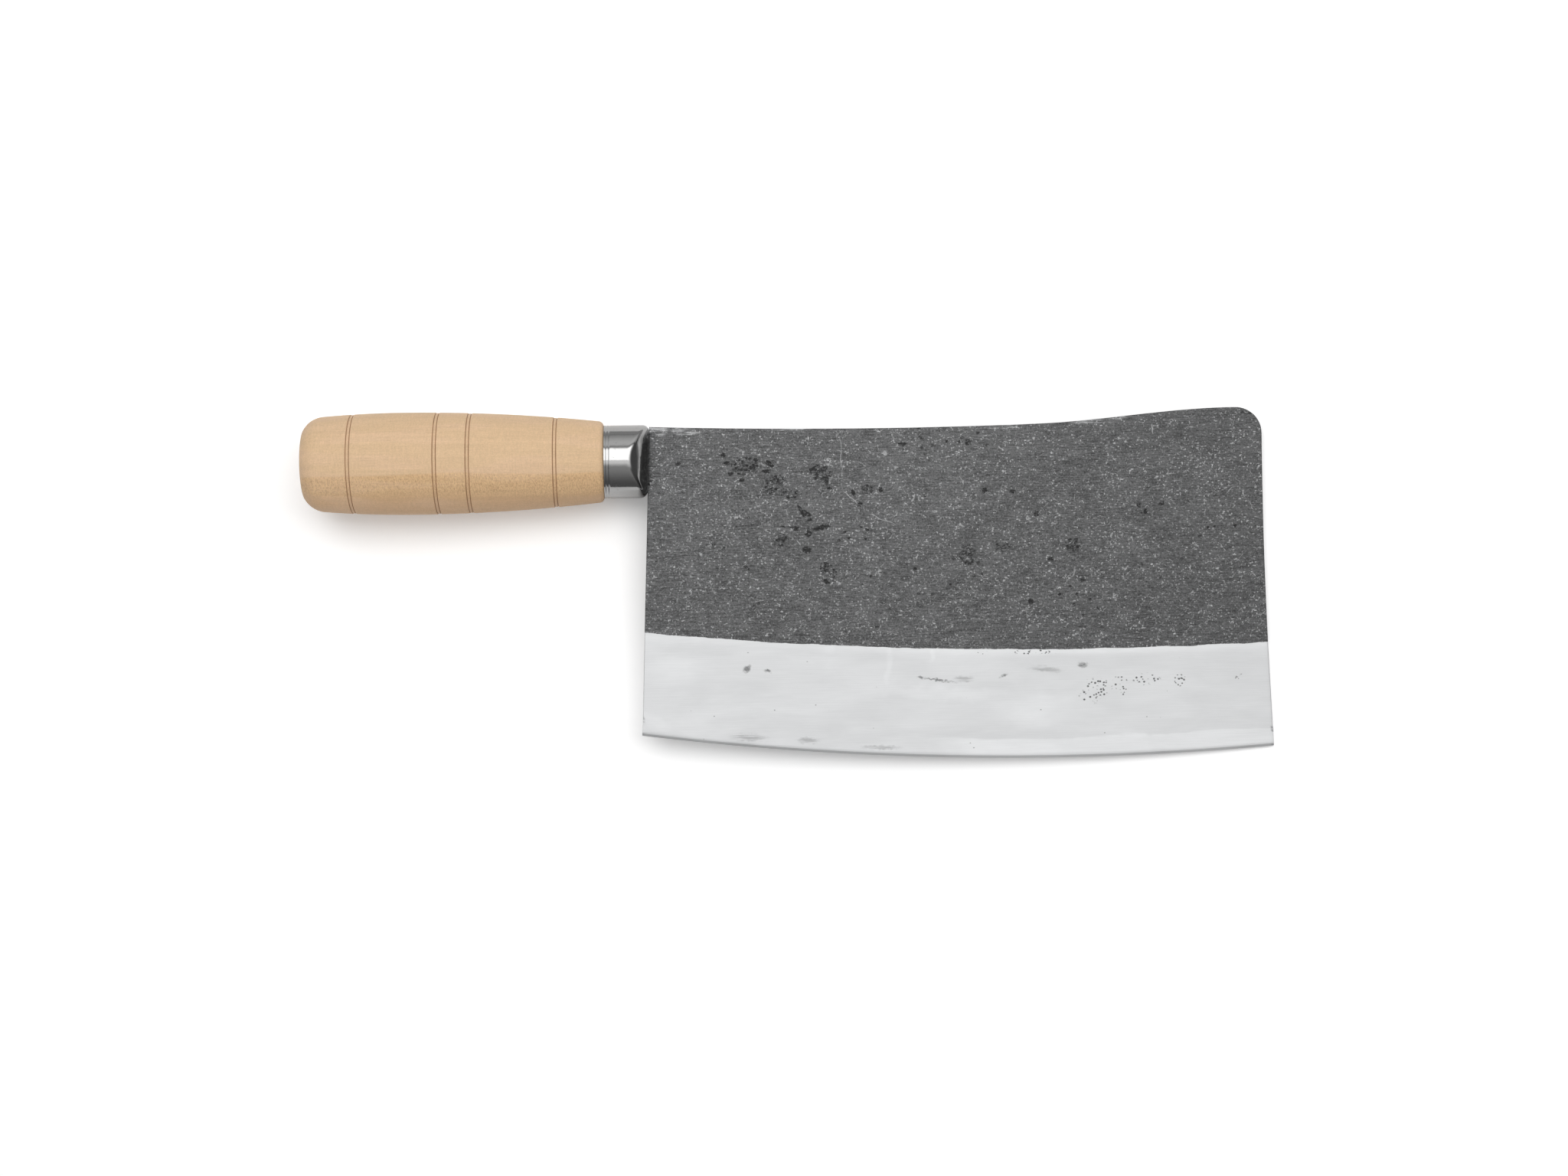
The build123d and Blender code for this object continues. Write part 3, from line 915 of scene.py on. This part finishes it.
def ground_steel(s, level):
    """Brightness and relief of steel ground along the blade."""
    upper = upper_side(s)
    lines = s.noise((16, 0.3, 0.5), 2, 0.6)
    fine = s.noise((6, 0.13, 0.5), 1, 0.5, (3, 7, 1))
    cloud = s.noise((26, 9, 8), 3, 0.55, (9, 2, 4), 0.4)
    tone = s.math("MULTIPLY", s.vary((lines, 0.1), (fine, 0.07), (cloud, 0.24)), level)
    ragged = s.wobble(1.4, 0.9)
    smear = s.rise(s.near(BRIGHT_SMEARS, s.wobble(5.0, 2.5, (3, 1, 2))), 0.0, 0.8)
    tone = s.dim(tone, -0.06, s.math("MULTIPLY", smear, upper))
    x, y, _ = s.parts(s.own)
    # Painted light: the ground steel is made a little brighter towards the cutting edge, where the lighting
    # leaves it darker.
    tone = s.dim(tone, -0.04, s.rise(y, -62, -88))
    from_edge = s.math("MULTIPLY_ADD", cloud, 5.0, ring_distance(s, EDGE_CENTRE, EDGE_RADIUS))
    pale = s.times(s.rise(from_edge, -4.7, -3.9), s.rise(x, 92, 112), upper)
    tone = s.dim(tone, -0.1, pale)
    blots = s.rise(s.noise((0.8, 0.6, 0.8), 2, 0.65, (6, 6, 2)), 0.28, 0.52)
    smudge = s.times(s.rise(s.near(BEVEL_SMUDGES, ragged), 0.0, 0.8), blots, upper)
    tone = s.dim(tone, 0.66, smudge)
    streaks = s.rise(s.noise((7, 0.35, 0.5), 2, 0.6, (8, 1, 2)), 0.34, 0.56)
    faint = s.times(s.rise(s.near(FAINT_SMUDGES, ragged), 0.0, 0.7), streaks, upper)
    tone = s.dim(tone, 0.32, faint)
    specks = s.rise(s.cells((1.15, 1.0, 1.0), (1, 5, 2)), 0.42, 0.25)
    chance = s.rise(s.noise((1.7, 1.5, 1.5), 1, 0.5, (2, 8, 3)), 0.38, 0.52)
    specks = s.times(specks, chance, s.rise(s.near(SPECK_FIELDS, ragged), 0.0, 0.25), upper)
    tone = s.dim(tone, 0.82, specks)
    stray = s.times(s.rise(s.cells((5.2, 3.6, 4), (1, 5, 2)), 0.075, 0.03), s.rise(cloud, 0.5, 0.62))
    tone = s.dim(tone, 0.6, stray)
    return tone, s.math("SUBTRACT", s.math("ADD", lines, fine), specks)


def light_marks(s, upper, clumps, ragged):
    """Light marks on the forge scale: rubbed flecks, hairs, scratches, and the spine rubbed bright with a
    painted highlight.
    """
    chance = s.rise(s.noise((0.8, 0.8, 0.8), 1, 0.5, (1, 9, 4)), 0.45, 0.57)
    flat = s.rise(s.cells((1.5, 0.7, 0.8), (1, 4, 2), "F1", 0.25), 0.38, 0.22)
    steep = s.rise(s.cells((0.7, 1.3, 0.8), (6, 2, 3), "F1", 0.25), 0.34, 0.2)
    flecks = s.times(s.math("MAXIMUM", flat, steep), chance, s.math("MULTIPLY_ADD", clumps, 0.8, 0.2))
    net = s.rise(s.cells((3.4, 2.9, 3), (4, 8, 1), "DISTANCE_TO_EDGE", 0.8), 0.035, 0.004)
    hairs = s.math("MULTIPLY", net, s.rise(s.noise((2.4, 2.2, 2), 1, 0.5, (4, 8, 1)), 0.56, 0.64))
    scratches = s.times(s.rise(s.near(LIGHT_SCRATCHES, s.wobble(4.0, 1.1, (2, 2, 2))), 0.0, 0.5), upper)
    streaks = s.rise(s.noise((8, 0.4, 0.6), 2, 0.6, (7, 7, 1)), 0.44, 0.6)
    # Rubbed bright metal along the spine, with a painted highlight on its rounded edge.
    worn = s.times(s.rise(s.near(WORN_SPINE_HIGHLIGHTS, ragged), 0.0, 0.5), streaks, upper)
    light = s.math("ADD", s.math("MULTIPLY", flecks, 0.34), s.math("MULTIPLY", hairs, 0.2))
    return s.math("MULTIPLY_ADD", scratches, 0.2, s.math("MULTIPLY_ADD", worn, 0.34, light))


def scale_pits(s, upper, broad, ragged):
    """Pits in the forge scale: scattered ones, crumbling fields and single grooves."""
    scattered = s.rise(s.cells((3.2, 2.9, 3), (7, 2, 9), "F1", 0.6), 0.23, 0.13)
    scattered = s.math("MULTIPLY", scattered, s.rise(broad, 0.46, 0.56))
    chance = s.rise(s.noise((22, 16, 16), 2, 0.5, (3, 9, 2)), 0.50, 0.64)
    field = s.times(s.rise(s.near(PIT_FIELDS, ragged), 0.0, 0.25), upper)
    crumbs = s.rise(s.noise((0.9, 0.7, 0.8), 3, 0.7, (3, 5, 8)), 0.5, 0.62, 0.0, 0.75)
    crowded = s.rise(s.cells((1.4, 1.2, 2), (5, 3, 3), "F1", 0.5), 0.48, 0.3)
    crowded = s.math("MULTIPLY", s.math("MAXIMUM", crowded, crumbs), field)
    groove = s.times(s.rise(s.near(GROOVES, s.wobble(0.9, 0.6)), -0.15, 0.3), upper)
    pits = s.math("MAXIMUM", s.math("MULTIPLY", scattered, chance), s.math("MAXIMUM", crowded, groove))
    eaten = s.rise(s.noise((0.7, 0.6, 0.7), 2, 0.6, (8, 8, 1)), 0.36, 0.54, 0.25, 1.0)
    return s.math("MULTIPLY", pits, eaten)


def forged_steel():
    """Forge scale with rubbed flecks and pits, ground away below the bevel's top."""
    s = Shader("forged_steel")
    upper = upper_side(s)
    x, y, _ = s.parts(s.own)
    broad = s.noise((60, 40, 40), 1, 0.5)
    patch = s.noise((7, 5, 5), 3, 0.6, (2, 3, 5))
    lines = s.noise((9, 0.3, 0.6), 2, 0.65)
    short = s.noise((2.6, 0.42, 0.6), 2, 0.6, (4, 2, 6))
    grain = s.noise((0.6, 0.5, 0.5), 2, 0.7, (5, 1, 2))
    # Painted shade: the scale's colour is made darker towards the front and towards the bottom, where less
    # light falls on it.
    shade = s.math("MULTIPLY_ADD", s.rise(x, 90, 215), -0.15, 1.02)
    shade = s.math("MULTIPLY_ADD", s.rise(y, 5, -60), -0.07, shade)
    tone = s.vary((broad, 0.25), (patch, 0.9), (lines, 1.4), (short, 1.7), (grain, 2.5))
    tone = s.times(s.math("MAXIMUM", tone, 0.3), shade, SCALE_LEVEL)
    clumps = s.rise(s.noise((3.2, 2.6, 3), 3, 0.6, (8, 3, 5)), 0.40, 0.66)
    ragged = s.wobble(1.3, 0.8)
    rubbed = s.times(s.rise(s.near(RUBBED_FIELDS, ragged), 0.0, 0.7), upper, 0.6)
    clumps = s.math("MAXIMUM", clumps, rubbed)
    light = light_marks(s, upper, clumps, ragged)
    tone = s.math("ADD", s.math("MULTIPLY_ADD", clumps, 0.012, tone), light)
    pits = scale_pits(s, upper, broad, ragged)
    tone = s.dim(tone, 0.87, pits)
    below = ring_distance(s, BEVEL_CENTRE, BEVEL_RADIUS)
    ragged_line = s.vary((s.noise((9, 9, 9), 2, 0.5), 1.1), (s.noise((0.9, 0.9, 0.9), 2), 0.35))
    ground = s.rise(s.math("ADD", below, ragged_line), 0.93, 1.07)
    bright, fine = ground_steel(s, BODY_LEVEL)
    scaled = s.math("SUBTRACT", 1.0, ground)
    tone = s.math("ADD", s.math("MULTIPLY", tone, scaled), s.math("MULTIPLY", bright, ground))
    s.put(s.surface.inputs["Base Color"], s.grey(tone, STEEL_TINT))
    s.put(s.surface.inputs["Metallic"], s.math("MULTIPLY_ADD", ground, 0.3, 0.3))
    s.put(s.surface.inputs["Roughness"], s.math("MULTIPLY_ADD", ground, -0.12, 0.56))
    relief = s.math("MULTIPLY_ADD", grain, 0.5, s.math("MULTIPLY", pits, -1.5))
    rough = s.bump(s.math("MULTIPLY", relief, scaled), 0.09)
    s.put(s.surface.inputs["Normal"], s.bump(s.math("MULTIPLY", fine, ground), 0.006, rough))
    return s


def hard_steel():
    """The steel along the edge, ground a little brighter, with painted shade on its honed strip."""
    s = Shader("hard_steel")
    bright, fine = ground_steel(s, HARD_LEVEL)
    above = s.math("MULTIPLY", ring_distance(s, EDGE_CENTRE, EDGE_RADIUS), -1.0)
    honed = s.rise(above, HONE_WIDTH + HONE_BLUR, HONE_WIDTH - HONE_BLUR)
    # Painted shade: the honed strip's colour is darkened; its lower roughness is its real finish.
    s.put(s.surface.inputs["Base Color"], s.grey(s.dim(bright, 0.25, honed), STEEL_TINT))
    s.surface.inputs["Metallic"].default_value = 0.6
    s.put(s.surface.inputs["Roughness"], s.math("MULTIPLY_ADD", honed, -0.1, 0.44))
    s.put(s.surface.inputs["Normal"], s.bump(fine, 0.006))
    return s


def stainless_steel():
    """Polished stainless steel with faint handling marks, and painted shade where it meets the blade."""
    s = Shader("stainless_steel")
    haze = s.noise((4, 3, 3), 3, 0.6)
    marks = s.noise((0.9, 0.5, 0.5), 2, 0.6, (5, 2, 1))
    dull = s.math("MULTIPLY", s.rise(marks, 0.62, 0.72), s.rise(haze, 0.45, 0.62))
    x, y, _ = s.parts(s.own)
    # Painted shade: the nose is darkened in patches in the crevice where it meets the blade.
    front = s.math("MULTIPLY_ADD", y, -HEEL_SLOPE, x)
    patchy = s.rise(s.noise((2.5, 2.5, 2.5), 3, 0.6), 0.1, 0.5)
    crevice_shade = s.times(s.rise(front, -3.6, -1.8), s.rise(y, 10, 6), patchy, 0.65)
    steel = s.dim(s.dim(FERRULE_LEVEL, 0.3, dull), 1.0, crevice_shade)
    s.put(s.surface.inputs["Base Color"], s.grey(steel, FERRULE_TINT))
    s.surface.inputs["Metallic"].default_value = 1.0
    rough = s.math("MULTIPLY_ADD", dull, 0.2, s.math("MULTIPLY_ADD", haze, 0.08, 0.05))
    s.put(s.surface.inputs["Roughness"], rough)
    s.put(s.surface.inputs["Normal"], s.bump(s.noise((2, 4, 4), 2), 0.03))
    return s


# Colours of the wood: its upper and lower zones, pink clouds, light and dark ray flecks, pores, painted
# bounce light from the floor on the rounding at the bottom, and the bands and cuts of the rings
UPPER_WOOD = (0.67, 0.472, 0.289, 1)
LOWER_WOOD = (0.63, 0.411, 0.23, 1)
PINK_WOOD = (0.72, 0.50, 0.335, 1)
GOLD_WOOD = (0.72, 0.50, 0.27, 1)
BROWN_WOOD = (0.42, 0.26, 0.135, 1)
PORE_WOOD = (0.42, 0.26, 0.14, 1)
PAINTED_BOUNCE_WOOD = (0.65, 0.428, 0.262, 1)
BAND_WOOD = (0.50, 0.33, 0.22, 1)
CUT_WOOD = (0.26, 0.135, 0.075, 1)


def wood():
    """Pale close-grained hardwood, turned and sanded, with ray flecks low on the shown side."""
    s = Shader("wood")
    y = s.parts(s.own)[1]
    layers = s.noise((160, 2.6, 5.5), 2, 0.6, (3, 1, 4), 0.3)
    fibres = s.noise((14, 0.42, 0.45), 3, 0.65)
    ticks = s.noise((0.55, 2.6, 2.6), 2, 0.6, (4, 6, 2))
    pores = s.noise((2.4, 0.3, 0.3), 1, 0.5, (2, 5, 3))
    pink = s.noise((30, 5, 7), 1, 0.5, (7, 3, 2))
    down = s.math("MULTIPLY", y, -1.0)
    border = s.math("MULTIPLY_ADD", s.noise((28, 60, 60), 2, 0.5, (1, 2, 8)), 3.0, down)
    low = s.rise(border, 5.6, 6.6)
    bottom = s.rise(down, 9.5, 13.0)
    dashes = s.noise((0.34, 0.8, 0.8), 2, 0.6, (4, 4, 4), 0.3)
    gold = s.times(s.rise(dashes, 0.47, 0.60), low, s.math("SUBTRACT", 1.0, bottom))
    brown = s.times(s.rise(dashes, 0.48, 0.36), low, s.math("SUBTRACT", 1.0, bottom))
    mottle = s.noise((0.5, 0.45, 0.5), 2, 0.7, (9, 1, 5))
    tone = s.vary((layers, 0.2), (fibres, 0.2), (ticks, 0.2), (mottle, 0.34))
    base = s.blend(low, UPPER_WOOD, LOWER_WOOD)
    base = s.blend(s.math("MULTIPLY", s.rise(pink, 0.45, 0.65), 0.4), base, PINK_WOOD)
    base = s.blend(s.math("MULTIPLY", gold, 0.7), base, GOLD_WOOD)
    base = s.blend(s.math("MULTIPLY", brown, 0.45), base, BROWN_WOOD)
    base = s.blend(s.math("MULTIPLY", s.rise(pores, 0.62, 0.76), 0.22), base, PORE_WOOD)
    # Painted light: the rounding at the bottom is lightened as if lit from the floor below.
    base = s.blend(s.math("MULTIPLY", s.rise(y, -11, -15), 0.5), base, PAINTED_BOUNCE_WOOD)
    cut = s.node("Attribute", {"attribute_name": "cut"}).outputs["Fac"]
    base = s.blend(s.times(s.rise(cut, 0.1, 0.16), 0.16), base, BAND_WOOD)
    base = s.blend(s.math("MULTIPLY", s.rise(cut, 0.17, 0.36), 0.8), base, CUT_WOOD)
    shade = s.grey(tone)
    s.put(s.surface.inputs["Base Color"], s.vector("MULTIPLY", base, shade))
    s.put(s.surface.inputs["Roughness"], s.math("MULTIPLY_ADD", fibres, 0.2, 0.45))
    s.surface.inputs["Specular IOR Level"].default_value = 0.3
    relief = s.math("MULTIPLY_ADD", pores, -0.4, fibres)
    s.put(s.surface.inputs["Normal"], s.bump(relief, 0.03))
    return s


forged_steel().wear(blade_body, tang)
hard_steel().wear(edge_steel)
stainless_steel().wear(ferrule)
wood().wear(handle)


# Floor
FLOOR_REACH = 6.0


def floor_piece():
    """Plain white table, brightened for the camera. Reflections see it fall dark behind the knife."""
    mesh = bpy.data.meshes.new("floor")
    corners = [(x * FLOOR_REACH, y * FLOOR_REACH, 0) for x, y in ((-1, -1), (1, -1), (1, 1), (-1, 1))]
    mesh.from_pydata(corners, [], [(0, 1, 2, 3)])
    piece = bpy.data.objects.new("floor", mesh)
    bpy.context.collection.objects.link(piece)
    s = Shader("floor")
    path = s.node("LightPath").outputs
    behind = s.math("MULTIPLY", s.rise(s.parts(s.own)[1], 60, 85), path["Is Glossy Ray"])
    white = s.math("MULTIPLY_ADD", path["Is Camera Ray"], 0.1, 0.9)
    white = s.math("MULTIPLY_ADD", path["Is Glossy Ray"], -0.08, white)
    s.put(s.surface.inputs["Base Color"], s.grey(s.dim(white, 0.6, behind)))
    s.surface.inputs["Roughness"].default_value = 0.9
    s.surface.inputs["Specular IOR Level"].default_value = 0.0
    s.surface.inputs["Emission Color"].default_value = (1, 1, 1, 1)
    far = s.rise(s.vector("LENGTH", s.own), 350, 1200, 0.17, 1.0)
    s.put(s.surface.inputs["Emission Strength"], s.math("MULTIPLY", path["Is Camera Ray"], far))
    piece.data.materials.append(s.material)


floor_piece()


# World
def studio():
    """White for the camera, a soft sky for the light, and a painted studio for reflections.

    The studio is dim, with a glow and a lamp overhead, a pale wall past the spine's side and a bright
    horizon ahead of the blade. tilt is an angle in degrees from the zenith towards +Y.
    """
    world = bpy.data.worlds.new("studio")
    bpy.context.scene.world = world
    world.use_nodes = True
    s = Nodes(world.node_tree)
    ground = s.tree.nodes["Background"]
    dx, dy, dz = s.parts(s.node("TexCoord").outputs["Generated"])
    tilt = s.math("MULTIPLY", s.math("ARCTAN2", dy, dz), 180 / pi)
    aside = s.math("ABSOLUTE", dx)
    ahead = s.rise(dx, 0.35, 0.75)
    dark = s.dim(s.math("MULTIPLY_ADD", s.rise(tilt, -78, -14), 0.26, 0.11), 0.75, ahead)
    glow = s.times(s.rise(tilt, -20, -3), s.rise(tilt, 45, 38), s.rise(aside, 0.85, 0.55), 0.72)
    lamp = s.times(s.rise(tilt, 0, 4), s.rise(tilt, 41, 36), s.rise(aside, 0.7, 0.4), 1.15)
    glow = s.math("ADD", glow, lamp)
    wall = s.times(s.rise(tilt, 46, 52), s.rise(tilt, 94, 58), s.rise(aside, 0.95, 0.7), 0.36)
    ends = s.rise(s.math("ABSOLUTE", dy), 0.12, 0.35, 0.1, 0.5)
    horizon = s.times(s.rise(dz, 0.07, 0.03), s.rise(dx, 0.5, 0.8), ends)
    light = s.math("ADD", dark, s.math("MAXIMUM", s.math("MAXIMUM", glow, wall), horizon))
    path = s.node("LightPath").outputs
    sky = s.times(s.rise(dz, 0.12, 0.55), s.math("MULTIPLY_ADD", dy, 0.85, 1.0), 0.46)
    fill = s.times(s.rise(dz, 0.0, 0.12), s.rise(dz, 0.62, 0.38), s.rise(dy, -0.25, -0.7), 0.85)
    dome = s.math("MULTIPLY", s.math("ADD", sky, fill), s.math("SUBTRACT", 1.0, path["Is Glossy Ray"]))
    light = s.math("MULTIPLY_ADD", light, path["Is Glossy Ray"], dome)
    s.put(ground.inputs["Strength"], s.math("MAXIMUM", light, path["Is Camera Ray"]))
    ground.inputs["Color"].default_value = (1, 1, 1, 1)


studio()


def soft_box(aim, off_zenith, sideways, distance, size, power):
    """Soft light on a point in millimetres, from these degrees off the zenith towards +Y and +X.

    Reflections see the lamp that is painted in the studio instead.
    """
    lamp = bpy.data.lights.new("soft_box", "AREA")
    lamp.shape = "RECTANGLE"
    lamp.size, lamp.size_y = size
    lamp.energy = power
    piece = bpy.data.objects.new("soft_box", lamp)
    bpy.context.collection.objects.link(piece)
    way = Vector((tan(radians(sideways)), tan(radians(off_zenith)), 1)).normalized()
    spot = Vector(aim) * MM
    piece.location = spot + way * distance
    piece.rotation_euler = way.to_track_quat("Z", "Y").to_euler()
    piece.visible_glossy = False


soft_box(aim=(-55, 43, 12), off_zenith=17.5, sideways=4.0, distance=1.0, size=(1.4, 0.56), power=7.4)

# Camera, straight above the table
CAMERA_PLACE = (-0.00347, -0.00069, 0.7155)
CAMERA_TURN = radians(-0.75)
camera_data = bpy.data.cameras.new("camera")
camera_data.sensor_width = 36.0
camera_data.lens = 47.46
camera_data.clip_start = 0.01
camera = bpy.data.objects.new("camera", camera_data)
bpy.context.collection.objects.link(camera)
camera.location = CAMERA_PLACE
camera.rotation_euler = (0, 0, CAMERA_TURN)
bpy.context.scene.camera = camera

bpy.context.scene.view_settings.view_transform = "Standard"
